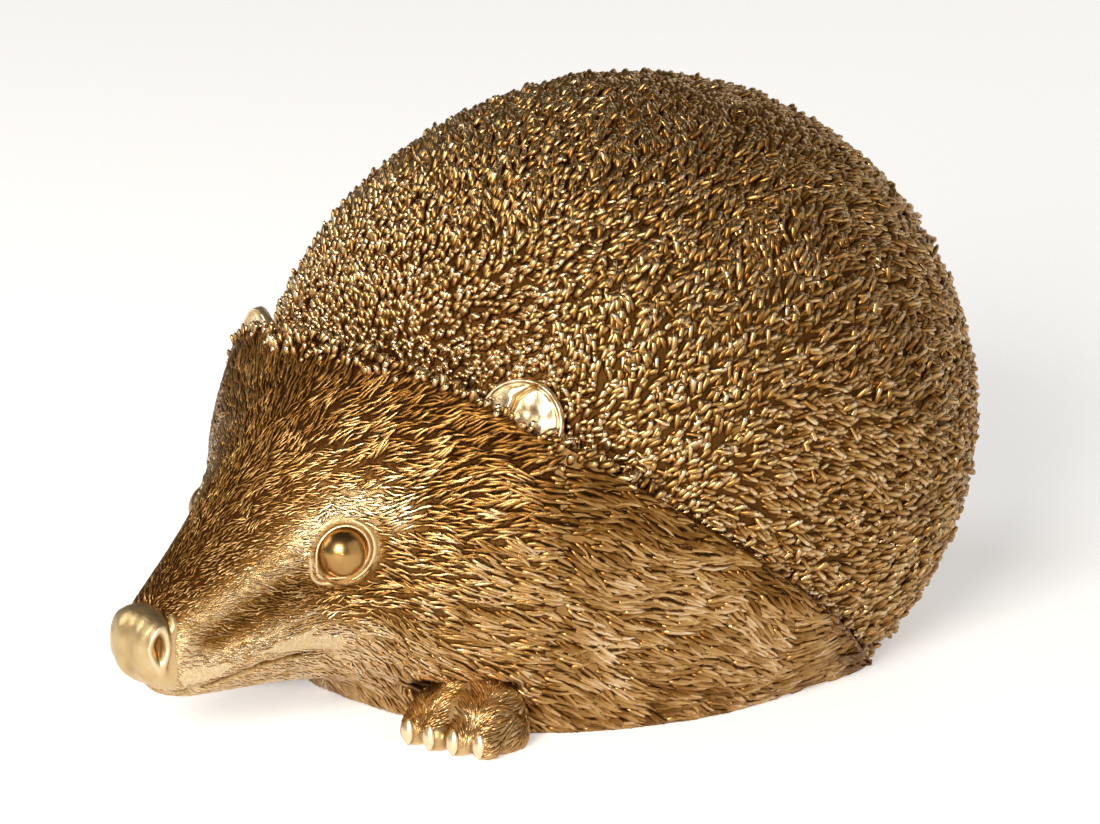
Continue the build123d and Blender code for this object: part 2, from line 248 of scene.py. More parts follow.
def gold_material(name, stops, shares, level, scale, bump, gloss):
    """Antique gold, from dark patina in the hollows to bright gold on worn, risen places.

    How pale a place is adds shares of rise, tone and grain to a level; the tone carries painted shade and
    painted light besides patterns and patina. Gloss is the roughness at both ends.
    """
    rise, tone, grain = shares
    material, tree, sockets = new_material(name)
    place = tree.nodes.new("ShaderNodeTexCoord").outputs["Object"]

    def attribute(label):
        node = tree.nodes.new("ShaderNodeAttribute")
        node.attribute_name = label
        return node.outputs["Fac"]

    def noise(size, detail):
        inputs = {"Scale": size, "Detail": detail, "Vector": place}
        return add_node(tree, "ShaderNodeTexNoise", inputs).outputs["Fac"]

    def scaled(value, factor, addend):
        node = tree.nodes.new("ShaderNodeMath")
        node.operation = "MULTIPLY_ADD"
        fill(tree, node.inputs, {0: value, 1: factor, 2: addend})
        return node.outputs["Value"]

    def ranged(value, high, to_low, to_high):
        inputs = {"Value": value, "From Max": high, "To Min": to_low, "To Max": to_high}
        return add_node(tree, "ShaderNodeMapRange", inputs).outputs["Result"]

    paleness = scaled(noise(scale, 5.0), grain, level - 0.5 * grain)
    paleness = scaled(attribute("tone"), tone, paleness)
    paleness = scaled(attribute("rise"), rise, paleness)
    relief = {"Strength": bump, "Distance": BUMP_DEPTH, "Height": noise(3.0 * scale, 3.0)}
    inputs = {
        "Base Color": ramp_colour(tree, paleness, stops),
        "Metallic": ranged(paleness, METAL_FROM, PATINA_METAL, 1.0),
        "Roughness": ranged(paleness, 1.0, *gloss),
        "Specular IOR Level": GOLD_SPECULAR,
        "Normal": add_node(tree, "ShaderNodeBump", relief).outputs["Normal"],
    }
    fill(tree, sockets, inputs)
    return material


quill_gold = gold_material("quill_gold", GOLD_STOPS, (0.7, 0.35, 0.3), -0.08, 600.0, 0.15, (0.45, 0.23))
fur_gold = gold_material("fur_gold", GOLD_STOPS, (0.5, 0.65, 0.3), -0.15, 700.0, 0.2, (0.48, 0.27))
skin_gold = gold_material("skin_gold", POLISH_STOPS, (0.8, 0.3, 0.5), -0.1, 1500.0, 0.6, (0.6, 0.28))
polish_gold = gold_material("polish_gold", POLISH_STOPS, (0.6, 0.3, 0.3), 0.12, 420.0, 0.22, (0.5, 0.34))
coat_patina = gold_material("coat_patina", GOLD_STOPS, (0.0, 0.0, 0.12), 0.09, 500.0, 0.3, (0.65, 0.5))
flank_patina = gold_material("flank_patina", GOLD_STOPS, (0.0, 0.0, 0.25), 0.44, 500.0, 0.3, (0.6, 0.4))
eye_gold = gold_material("eye_gold", GOLD_STOPS, (0.0, 0.0, 0.3), 0.5, 160.0, 0.06, (0.34, 0.17))

felt_brown, felt_tree, felt_sockets = new_material("felt_brown")
mottle = add_node(felt_tree, "ShaderNodeTexNoise", {"Scale": FELT_GRAIN}).outputs["Fac"]
felt_inputs = {"Base Color": ramp_colour(felt_tree, mottle, FELT_STOPS), "Roughness": FELT_ROUGHNESS}
fill(felt_tree, felt_sockets, felt_inputs)

floor_pale, floor_tree, floor_sockets = new_material("floor_pale")
fill(floor_tree, floor_sockets, {"Base Color": FLOOR_COLOUR, "Roughness": FLOOR_ROUGHNESS})
fill(floor_tree, floor_sockets, {"Emission Color": (1.0, 1.0, 1.0, 1.0), "Emission Strength": FLOOR_GLOW})
floor_mesh = bpy.data.meshes.new("floor")
floor_mesh.from_pydata([(x, y, 0.0) for x, y in ((-1, -1), (1, -1), (1, 1), (-1, 1))], [], [(0, 1, 2, 3)])
floor = bpy.data.objects.new("floor", floor_mesh)
floor.scale = (FLOOR_HALF, FLOOR_HALF, 1.0)
floor.data.materials.append(floor_pale)
bpy.context.scene.collection.objects.link(floor)


# Mesh making


def add_piece(name, points, faces, material, slot, nodes=(), **layers):
    """A smooth mesh piece that rides with the object, with named values per point."""
    mesh = bpy.data.meshes.new(name)
    mesh.from_pydata((points * MM).tolist(), [], faces)
    for label, values in layers.items():
        layer = mesh.attributes.new(label, "FLOAT", "POINT")
        layer.data.foreach_set("value", np.ascontiguousarray(values, dtype=np.float32))
    mesh.shade_smooth()
    mesh.materials.append(material)
    piece = bpy.data.objects.new(name, mesh)
    bpy.context.scene.collection.objects.link(piece)
    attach(piece, "root")
    if nodes:
        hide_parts(*nodes)


def bundle(centres, ups, widths, heights, profile, alongs=None):
    """Points and faces of closed strands: rings of one profile, set across their paths."""
    if alongs is None:
        alongs = unit(np.gradient(centres, axis=1))
    sides = unit(np.cross(ups, alongs))
    risers = unit(np.cross(alongs, sides))
    across, upward = np.array(profile).T
    points = (
        centres[:, :, None, :]
        + sides[:, :, None, :] * (widths[:, :, None] * across)[..., None]
        + risers[:, :, None, :] * (heights[:, :, None] * upward)[..., None]
    )
    count, rings, corners = points.shape[:3]
    index = np.arange(count * rings * corners).reshape(count, rings, corners)
    around = np.roll(index, -1, axis=2)
    walls = np.stack([index[:, :-1], around[:, :-1], around[:, 1:], index[:, 1:]], axis=-1).reshape(-1, 4)
    faces = walls.tolist() + index[:, 0, ::-1].tolist() + index[:, -1].tolist()
    return points.reshape(-1, 3), faces


def add_strands(name, strands, lowest, material, slot, rise, tone):
    """A piece of strands, kept off the ground, with a rise for each ring and a tone for each strand."""
    points, faces = strands
    corners = len(points) // (len(rise) * len(tone))
    points[:, 2] = np.maximum(points[:, 2], lowest)
    rises = np.repeat(np.tile(rise, len(tone)), corners)
    tones = np.repeat(tone, len(rise) * corners)
    add_piece(name, points, faces, material, slot, rise=rises, tone=tones)


def round_profile(corners):
    """Corners of a round section."""
    turns = [2 * math.pi * corner / corners for corner in range(corners)]
    return [(math.cos(turn), math.sin(turn)) for turn in turns]


def ring_grid(rings, columns):
    """Numbers of points on closed rings, of the points beside them, and the faces between."""
    index = np.arange(rings * columns).reshape(rings, columns)
    beside = np.roll(index, -1, axis=1)
    walls = np.stack([index[:-1], index[1:], beside[1:], beside[:-1]], axis=-1).reshape(-1, 4)
    return index, beside, walls


def halved(walls):
    """Triangles of four-cornered faces."""
    return np.concatenate([walls[:, [0, 1, 2]], walls[:, [0, 2, 3]]])


def point_tree(places):
    """A tree that finds places near others."""
    tree = KDTree(len(places))
    for index, place in enumerate(places.tolist()):
        tree.insert(place, index)
    tree.balance()
    return tree


def face_tree(points, triangles):
    """A tree that finds places on a mesh."""
    return BVHTree.FromPolygons(points.tolist(), triangles.tolist())


def mesh_arrays(mesh):
    """Points in millimetres and triangles of a mesh."""
    points = np.empty(3 * len(mesh.vertices))
    mesh.vertices.foreach_get("co", points)
    mesh.calc_loop_triangles()
    triangles = np.empty(3 * len(mesh.loop_triangles), dtype=np.int32)
    mesh.loop_triangles.foreach_get("vertices", triangles)
    return points.reshape(-1, 3) / MM, triangles.reshape(-1, 3)


def remeshed(mesh, voxel, unit_length):
    """Points in millimetres and triangles of an even mesh round another with its own unit."""
    probe = bpy.data.objects.new("probe", mesh)
    bpy.context.scene.collection.objects.link(probe)
    even = probe.modifiers.new("even", "REMESH")
    even.mode = "VOXEL"
    even.voxel_size = voxel * unit_length
    result = probe.evaluated_get(bpy.context.evaluated_depsgraph_get())
    points, triangles = mesh_arrays(result.to_mesh())
    result.to_mesh_clear()
    bpy.data.objects.remove(probe)
    bpy.data.meshes.remove(mesh)
    return points * (MM / unit_length), triangles


def face_crosses(points, triangles):
    """Cross products of the triangles' sides: normals as long as twice the area."""
    corners = points[triangles]
    return np.cross(corners[:, 1] - corners[:, 0], corners[:, 2] - corners[:, 0])


def point_normals(points, triangles):
    """Normals at the points of a mesh."""
    across = face_crosses(points, triangles)
    normals = np.zeros_like(points)
    for corner in range(3):
        np.add.at(normals, triangles[:, corner], across)
    return unit(normals)


def relaxed(points, triangles, rounds):
    """Points moved halfway to the mean of their neighbours, round after round."""
    pairs = np.concatenate([triangles[:, [0, 1]], triangles[:, [1, 2]], triangles[:, [2, 0]]])
    pairs = np.concatenate([pairs, pairs[:, ::-1]])
    share = np.bincount(pairs[:, 0], minlength=len(points))[:, None]
    for _ in range(rounds):
        total = np.zeros_like(points)
        np.add.at(total, pairs[:, 0], points[pairs[:, 1]])
        points = 0.5 * points + 0.5 * total / np.maximum(share, 1)
    return points


def joined(first, second):
    """One set of points and triangles from two."""
    triangles = np.concatenate([first[1], second[1] + len(first[0])])
    return np.concatenate([first[0], second[0]]), triangles


def settle(tree, places):
    """Nearest points on a surface and its normals there."""
    found = [tree.find_nearest(place) for place in places.tolist()]
    return np.array([hit[0][:] for hit in found]), np.array([hit[1][:] for hit in found])


def scatter(points, triangles, rng, count):
    """Random points on a mesh, even by area, with the normals there."""
    across = face_crosses(points, triangles)
    area = np.linalg.norm(across, axis=1)
    pick = rng.choice(len(triangles), count, p=area / area.sum())
    first, second = np.sqrt(rng.random((count, 1))), rng.random((count, 1))
    chosen = points[triangles][pick]
    places = (1 - first) * chosen[:, 0] + first * (1 - second) * chosen[:, 1] + first * second * chosen[:, 2]
    return places, unit(across[pick])


def thinned(places, spacing):
    """Which of the places stay so that each keeps its spacing."""
    tree = point_tree(places)
    blocked = np.zeros(len(places), dtype=bool)
    kept = []
    for index, place in enumerate(places.tolist()):
        if not blocked[index]:
            kept.append(index)
            blocked[[other for _, other, _ in tree.find_range(place, spacing[index])]] = True
    return np.array(kept)


# Quills

QUILL_SEED = 11
QUILL_ROOM = 1.22
QUILL_STRAY = 0.4
QUILL_LOW = 0.3
QUILL_GROUND = 0.02
QUILL_SEAT_LAP = 2.2
QUILL_LENGTH = 3.9
QUILL_HALF_WIDTH = 0.6
QUILL_FLATNESS = 0.85
QUILL_CORNERS = 5
QUILL_SHARES = np.array([0.0, 0.45, 0.86, 1.0])
QUILL_GIRTHS = np.array([0.7, 1.0, 0.92, 0.5])
QUILL_SINK = 0.7
QUILL_BEND = math.radians(26)
QUILL_LIFT = math.radians(22)
QUILL_FRONT_LIFT = math.radians(20)
QUILL_TOP_LIFT = math.radians(17)
QUILL_LIFT_SPREAD = math.radians(8)
QUILL_SWING = math.radians(30)
QUILL_REAR_SWING = math.radians(12)
QUILL_SPLITS = (18.0, 52.0)
QUILL_STATIONS = (-40.0, -20.0, 0.0, 20.0, 60.0, 90.0)
QUILL_PITCHES = (84.0, 76.0, 48.0, 26.0, 22.0, 5.0)
QUILL_FRONT = (-8.0, -34.0)
QUILL_REAR = (30.0, 75.0)
QUILL_TOP = (0.45, 0.9)
QUILL_SHADED_REAR = (5.0, 50.0)
RIDGE_WIDTH = 0.2
SWIRL_SIZE = 9.0
SWIRL_TURN = math.radians(24)

FRINGE_SEED = 41
FRINGE_TRIES = 90000
FRINGE_ACROSS = (0.0, 10.0, 18.0, 26.0, 36.0, 48.0)
FRINGE_DEPTHS = (4.2, 3.8, 2.4, 1.0, 1.2, 2.8)
FRINGE_STRAY = 2.0
FRINGE_STRAY_SIZE = 3.5
FRINGE_STRAY_ACROSS = (34.0, 46.0)
FRINGE_SPACING = 0.95
FRINGE_LEAST_FACING = -0.2
FRINGE_INMOST = 0.96
FRINGE_LEAN = 0.7
FRINGE_LOW = 1.5


def egg_radii(forward):
    """Radii of the coat's egg across, along and up, in its front half or behind."""
    reach = np.where(forward, COAT_FRONT_REACH, COAT_REAR_REACH)
    girth = np.full(len(reach), COAT_RADIUS)
    return np.stack([girth, reach, girth], axis=1)


def egg_outward(points):
    """Places seen from the middle of the coat's egg, at length one on its surface."""
    return (points - COAT_CENTRE) / egg_radii(points[:, 1] < COAT_CENTRE[1])


def coat_points(count):
    """Points spread evenly over the whole coat, with the normals there."""
    index = np.arange(count) + 0.5
    height = 1 - 2 * index / count
    turn = index * math.pi * (3 - math.sqrt(5))
    flat = np.sqrt(1 - height**2)
    directions = np.stack([flat * np.cos(turn), height, flat * np.sin(turn)], axis=1)
    radii = egg_radii(directions[:, 1] < 0)
    return COAT_CENTRE + directions * radii, unit(directions / radii)


def in_fringe(points, normals):
    """Whether points lie on the fur's edge, where the coat's quills come down."""
    across = np.abs(points[:, 0])
    stray = FRINGE_STRAY * eased(*FRINGE_STRAY_ACROSS, across)
    depth = np.interp(across, FRINGE_ACROSS, FRINGE_DEPTHS)
    depth = depth + stray * swirl(points, FRINGE_STRAY_SIZE, np.random.default_rng(FRINGE_SEED))
    proud = np.linalg.norm(egg_outward(points), axis=1) > FRINGE_INMOST
    return proud & (seat_height(points) > -depth) & (normals @ seat_normal > FRINGE_LEAST_FACING)


def fringe_points(ground, rng):
    """Roots and leans of the quills on the fur's edge."""
    places, normals = scatter(*ground, rng, FRINGE_TRIES)
    shown = in_fringe(places, normals) & (places[:, 2] > FRINGE_LOW)
    places, normals = places[shown], normals[shown]
    kept = thinned(places, np.full(len(places), FRINGE_SPACING))
    return places[kept], unit(FRINGE_LEAN * normals[kept] + unit(egg_outward(places[kept])))


def quill_roots(ground, rng):
    """Roots and normals of all quills, clear of the ears."""
    area = 4 * math.pi * COAT_RADIUS * (COAT_FRONT_REACH + COAT_REAR_REACH) / 2
    roots, normals = coat_points(int(area / QUILL_ROOM))
    ways = along_plane(rng.normal(size=roots.shape), normals)
    roots = roots + ways * rng.uniform(0, QUILL_STRAY, (len(roots), 1))
    keep = (seat_height(roots) > -QUILL_SEAT_LAP) & (roots[:, 2] > QUILL_LOW)
    fringe_roots, fringe_normals = fringe_points(ground, rng)
    roots = np.concatenate([roots[keep], fringe_roots])
    normals = np.concatenate([normals[keep], fringe_normals])
    clear = np.linalg.norm(mirrored(roots) - ear_axes(1)[0], axis=1) > EAR_CLEARING
    return roots[clear], normals[clear]


def make_quills(ground):
    """Grains of quill laid back over the coat, in six pieces."""
    rng = np.random.default_rng(QUILL_SEED)
    roots, normals = quill_roots(ground, rng)
    count = len(roots)
    pitch = np.radians(np.interp(roots[:, 1], QUILL_STATIONS, QUILL_PITCHES))
    pitch *= 0.6 + 0.4 * eased(0.0, 30.0, seat_height(roots))
    climb = UP - normals[:, 2:] * normals
    climb /= np.linalg.norm(climb, axis=1, keepdims=True) + RIDGE_WIDTH
    sweep = along_plane(ALONG, normals)
    back = along_plane(turned(sweep, climb, pitch), normals)
    swing = rng.normal(size=count) * (QUILL_SWING + QUILL_REAR_SWING * eased(*QUILL_REAR, roots[:, 1]))
    swing += SWIRL_TURN * swirl(roots, SWIRL_SIZE, rng)
    lay = turned(back, np.cross(normals, back), swing)
    front = eased(*QUILL_FRONT, roots[:, 1])
    top = eased(*QUILL_TOP, normals[:, 2]) * (1 - front)
    lift = QUILL_LIFT + QUILL_FRONT_LIFT * front + QUILL_TOP_LIFT * top
    lift = lift + rng.normal(scale=QUILL_LIFT_SPREAD, size=count)
    length = QUILL_LENGTH * rng.uniform(0.66, 1.12, count) * (1 - 0.25 * front - 0.14 * top)
    width = QUILL_HALF_WIDTH * rng.uniform(0.78, 1.2, count)
    # Painted shade: quills darker towards the rear and on the top
    tone = rng.uniform(0.0, 1.0, count) - 0.27 * eased(*QUILL_SHADED_REAR, roots[:, 1]) - 0.14 * top

    angle = lift[:, None] - QUILL_BEND * (QUILL_SHARES - 0.5)
    alongs = turned(lay[:, None, :], normals[:, None, :], angle)
    steps = alongs * (length[:, None] * np.diff(QUILL_SHARES, prepend=0.0))[..., None]
    centres = roots[:, None, :] - normals[:, None, :] * QUILL_SINK + np.cumsum(steps, axis=1)
    widths = width[:, None] * QUILL_GIRTHS
    heights = QUILL_FLATNESS * widths
    ups = normals[:, None, :]
    rise = np.clip(1.25 * QUILL_SHARES - 0.2, 0, 1)
    profile = round_profile(QUILL_CORNERS)
    third = np.digitize(roots[:, 1], QUILL_SPLITS)
    for index, place in enumerate(("front", "middle", "rear")):
        for side_name, side in SIDES:
            name = f"quills_{place}_{side_name}"
            part = (third == index) & ((roots[:, 0] >= 0) == (side > 0))
            strands = bundle(centres[part], ups[part], widths[part], heights[part], profile, alongs[part])
            add_strands(name, strands, QUILL_GROUND, quill_gold, "gold_quills", rise, tone[part])


# Skin of the head and surface of the coat

HEAD_VOXEL = 0.5
SNOUT_BAND = [
    (7.2, -81.2, 22.8), (7.7, -78.3, 25.4), (10.0, -71.6, 28.6), (12.6, -65.1, 32.6),
    (14.4, -59.1, 39.2), (16.4, -56.0, 41.8), (20.6, -52.0, 43.1), (24.4, -49.7, 40.8),
]
EYE_STRIPE = [
    (9.2, -76.5, 22.2), (11.3, -70.6, 26.2), (13.4, -65.0, 29.4), (17.0, -59.0, 29.1), (24.0, -52.0, 30.0),
]
JAW_LINE = [
    (4.0, -78.0, 11.8), (8.0, -70.0, 12.5), (12.0, -62.0, 12.0), (16.0, -54.0, 11.0), (22.0, -47.0, 12.0),
]
BRIDGE_LINE = [
    (0.0, -81.0, 30.0), (0.0, -74.4, 34.6), (0.0, -67.0, 41.5), (0.0, -56.5, 54.0), (0.0, -45.0, 66.0),
]
LIP_LINE = [
    (6.5, -81.0, 16.0), (7.6, -77.0, 16.6), (9.8, -71.4, 18.6),
    (12.2, -67.0, 19.8), (14.4, -61.7, 20.0), (18.6, -56.0, 17.6),
]
MOUTH_LINE = [
    (4.0, -80.0, 12.4), (7.2, -74.6, 14.4), (10.2, -69.0, 16.6),
    (12.6, -63.0, 17.4), (15.6, -57.5, 16.4), (17.2, -54.0, 15.2),
]
CHEEK_SPOT = [(26.0, -50.0, 38.0), (31.0, -45.0, 37.0)]
SKIN_LINES = (
    (SNOUT_BAND, 0.7, 3.0), (EYE_STRIPE, -0.8, 3.6), (LIP_LINE, 0.8, 2.4), (MOUTH_LINE, -1.3, 0.75),
)
# Painted lines on the head, as line, change of tone and reach; the pale jaw line is painted light on the
# underside of the jaw
TONE_LINES = (
    (SNOUT_BAND, 0.45, 3.4), (EYE_STRIPE, -0.36, 2.8), (BRIDGE_LINE, -0.36, 8.0),
    (LIP_LINE, 0.5, 4.6), (CHEEK_SPOT, -0.08, 7.0), (JAW_LINE, 0.5, 7.5),
)
SKIN_NECK_FADE = (-31.0, -36.0)
SKIN_SEAT_FADE = (-0.6, -2.5)
SKIN_NOSE_FADE = (-83.0, -80.5)
BROW_SLIMMING = 0.5
BROW_FROM = (-68.0, -58.0)
CHEST_LIFT = 1.4
CHEST_FROM = (-62.0, -50.0)
CHEST_UNTIL = (-36.0, -42.0)
CHEST_HEIGHTS = (14.0, 3.0)
EYE_PLACE = np.array([18.0, -56.0, 35.0])
EYE_FACING = np.array([0.749, -0.629, 0.208])
COAT_ROWS = 60
COAT_COLUMNS = 120


def patina_and_painted_light(points):
    """Painted tone of the fur and head skin, 0 dark, 1 pale: patterns and patina, with painted shade low on
    the flanks and along the seat edge, and painted light under the jaw.
    """
    station, edge = points[:, 1], seat_height(points)
    tone = 0.5 + line_sum(mirrored(points), TONE_LINES)
    tone += 0.08 * eased(-40.0, -25.0, station)
    # Painted shade: darker towards the ground on the flanks behind the head
    tone -= 0.2 * eased(14.0, 2.0, points[:, 2]) * eased(-45.0, -25.0, station)
    cape = eased(-22.0, -4.0, edge) * eased(-10.0, -28.0, station)
    # Painted shade along the seat edge, where the fur meets the quills
    rim = eased(-9.0, -1.0, edge)
    return np.clip(tone - 0.3 * cape - 0.32 * rim, 0.0, 1.0)


def make_head_skin():
    """The head's skin, sculpted from the solid; returns it as points and triangles."""
    points, triangles = remeshed(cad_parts["head"].data.copy(), HEAD_VOXEL, MM)
    points = relaxed(points, triangles, 4)
    normals = point_normals(points, triangles)
    folded = mirrored(points)
    free = eased(*SKIN_NECK_FADE, points[:, 1]) * eased(*SKIN_SEAT_FADE, seat_height(points))
    free *= eased(*SKIN_NOSE_FADE, points[:, 1])
    form = line_sum(folded, SKIN_LINES) - BROW_SLIMMING * eased(*BROW_FROM, points[:, 1])
    points = points + normals * (form * free)[:, None]
    chest = eased(*CHEST_FROM, points[:, 1]) * eased(*CHEST_UNTIL, points[:, 1])
    points[:, 2] += CHEST_LIFT * chest * eased(*CHEST_HEIGHTS, points[:, 2])
    eye_gap = np.linalg.norm(folded - EYE_PLACE, axis=1)
    smooth_place = np.maximum(near(folded, LIP_LINE, 2.6), np.exp(-((eye_gap / 7.0) ** 4)))
    tone = patina_and_painted_light(points)
    rise = np.maximum(0.75 * smooth_place, 1.15 * tone - 0.42) - 1.2 * near(folded, MOUTH_LINE, 0.8)
    faces = triangles.tolist()
    add_piece("head_skin", points, faces, skin_gold, "gold_fur", nodes=["head"], rise=rise, tone=tone)
    return points, triangles


def coat_egg(cover):
    """Points and triangles of the egg that the coat is cut from, grown by a cover."""
    tilt = np.linspace(0, math.pi, COAT_ROWS)[:, None]
    turn = np.linspace(0, 2 * math.pi, COAT_COLUMNS, endpoint=False)[None, :]
    level = np.cos(tilt) * np.ones_like(turn)
    reach = np.where(level < 0, COAT_FRONT_REACH, COAT_REAR_REACH) + cover
    across = (COAT_RADIUS + cover) * np.sin(tilt)
    points = np.stack([across * np.cos(turn), reach * level, across * np.sin(turn)], axis=-1).reshape(-1, 3)
    return COAT_CENTRE + points, halved(ring_grid(COAT_ROWS, COAT_COLUMNS)[2])


def make_coat_base():
    """The coat's surface between the quills, cut at seat and ground; returns points and triangles."""
    points, triangles = coat_egg(0.0)
    form = bmesh.new()
    corners = [form.verts.new(point) for point in points.tolist()]
    for triangle in triangles.tolist():
        form.faces.new([corners[index] for index in triangle])
    bmesh.ops.remove_doubles(form, verts=form.verts, dist=0.001)
    bmesh.ops.dissolve_degenerate(form, edges=form.edges, dist=0.001)
    seat_cut = (SEAT_FRONT - COAT_SEAT_LAP * seat_normal, seat_normal)
    ground_cut = (np.zeros(3), UP)
    for place, normal in (seat_cut, ground_cut):
        whole = form.verts[:] + form.edges[:] + form.faces[:]
        cut = bmesh.ops.bisect_plane(form, geom=whole, plane_co=place, plane_no=normal, clear_inner=True)
        rim = [item for item in cut["geom_cut"] if isinstance(item, bmesh.types.BMEdge)]
        bmesh.ops.edgenet_fill(form, edges=rim)
    bmesh.ops.triangulate(form, faces=form.faces)
    form.verts.index_update()
    points = np.array([corner.co[:] for corner in form.verts])
    triangles = np.array([[corner.index for corner in face.verts] for face in form.faces])
    form.free()
    add_piece("coat_base", points, triangles.tolist(), coat_patina, "gold_quills", nodes=["quill_coat"])
    return points, triangles


# Fur on the head and flanks

FUR_SEED = 23
FUR_TRIES = 260000
FUR_THIN_SHARE = 0.5
FUR_STATIONS = (-83.0, -70.0, -60.0, -50.0, -40.0, -30.0, 40.0)
FUR_LENGTHS = (1.3, 1.7, 2.3, 3.3, 4.4, 5.2, 5.4)
FUR_HALF_WIDTHS = (0.15, 0.18, 0.23, 0.35, 0.48, 0.66, 0.72)
FUR_SPACINGS = (0.4, 0.42, 0.48, 0.62, 0.76, 0.9, 0.96)
FUR_LIFTS = (0.12, 0.14, 0.18, 0.28, 0.34, 0.34, 0.32)
FUR_PROFILE = ((-1.0, -0.3), (0.0, -0.9), (1.0, -0.3), (0.0, 0.9))
FUR_FLATNESS = 0.6
FUR_SHARES = np.array([0.0, 0.22, 0.5, 0.78, 1.0])
FUR_GIRTHS = np.array([0.7, 1.0, 0.95, 0.65, 0.12])
FUR_RING_LIFTS = np.array([-0.35, 0.35, 0.75, 0.95, 0.9])
FUR_COAT_COVER = 1.0
FUR_SWIRL_SIZE = 7.0
FUR_SWIRL_TURN = math.radians(9)
FUR_FRONT = -82.6
FUR_LOW = 0.4
FUR_GROUND = 0.05
FUR_PATH_GROUND = 0.3
FUR_FRINGE_END = (-20.0, 30.0)
THROAT_LOW = 5.0
THROAT_FACING = -0.85
LID_REACH = 6.0
LIP_REACH = 1.5
MOUTH_REACH = 1.1
LOCK_SIZE = 3.2
LOCK_LEAN = 0.35
LOCK_TURN = math.radians(10)
STRAND_TURN = math.radians(7)
STRAND_WAVE = math.radians(9)
SNOUT_END = -57.0
CAPE_FRONT = -43.0
NECK_SEAM = -30.0
NECK_FACE_ZONE = 0.2
NECK_FACING = 0.9
SEAM_WIDTH = 0.7
AIR_START = 0.3
AIR_REACH = 300.0
AIR_LEAN = 0.8


def by_station(values, points):
    """A measure of the fur, eased along the animal's length."""
    return np.interp(points[:, 1], FUR_STATIONS, values)


def fur_flow(points, normals):
    """The way the fur lies: back over the head, and down along the flanks near the seat."""
    flank = eased(-45.0, -15.0, points[:, 1])
    edge = eased(-22.0, -2.0, seat_height(points))
    hem = eased(20.0, 4.0, points[:, 2]) * eased(0.0, 30.0, points[:, 1])
    fall = -(0.16 + 0.12 * edge - 0.2 * hem) * flank * np.abs(normals[:, 0])
    return along_plane(ALONG + fall[:, None] * UP, normals)


def open_to_air(solid, places, normals):
    """Whether places are seen from outside: straight on, from front, side or below."""
    starts = places + AIR_START * normals
    side = np.sign(starts[:, :1]) * ACROSS
    seen = np.zeros(len(starts), dtype=bool)
    for lean in (0 * side, -ALONG, side, -UP):
        rays = zip(starts.tolist(), unit(normals + AIR_LEAN * lean).tolist())
        seen |= np.array([solid.ray_cast(start, way, AIR_REACH)[0] is None for start, way in rays])
    return seen


def fur_roots(ground, coat, rng):
    """Roots of the fur's strands and the normals there."""
    places, normals = scatter(*ground, rng, FUR_TRIES)
    sampled = (places[:, 1] < SNOUT_END) | (rng.random(len(places)) < FUR_THIN_SHARE)
    places, normals = places[sampled], normals[sampled]
    folded = mirrored(places)
    bare = np.linalg.norm(folded - EYE_PLACE, axis=1) < LID_REACH
    bare |= path_distance(folded, LIP_LINE) < LIP_REACH
    bare |= path_distance(folded, MOUTH_LINE) < MOUTH_REACH
    bare |= (places[:, 2] < FUR_LOW) | (places[:, 1] < FUR_FRONT)
    bare |= (normals[:, 2] < THROAT_FACING) & (places[:, 2] < THROAT_LOW)
    bare |= in_fringe(places, normals) & (places[:, 1] < rng.uniform(*FUR_FRINGE_END, len(places)))
    bare |= (np.abs(places[:, 1] - NECK_SEAM) < NECK_FACE_ZONE) & (np.abs(normals[:, 1]) > NECK_FACING)
    places, normals = places[~bare], normals[~bare]
    kept = thinned(places, by_station(FUR_SPACINGS, places))
    places, normals = places[kept], normals[kept]
    clear = open_to_air(face_tree(*joined(ground, coat)), places, normals)
    return places[clear], normals[clear]


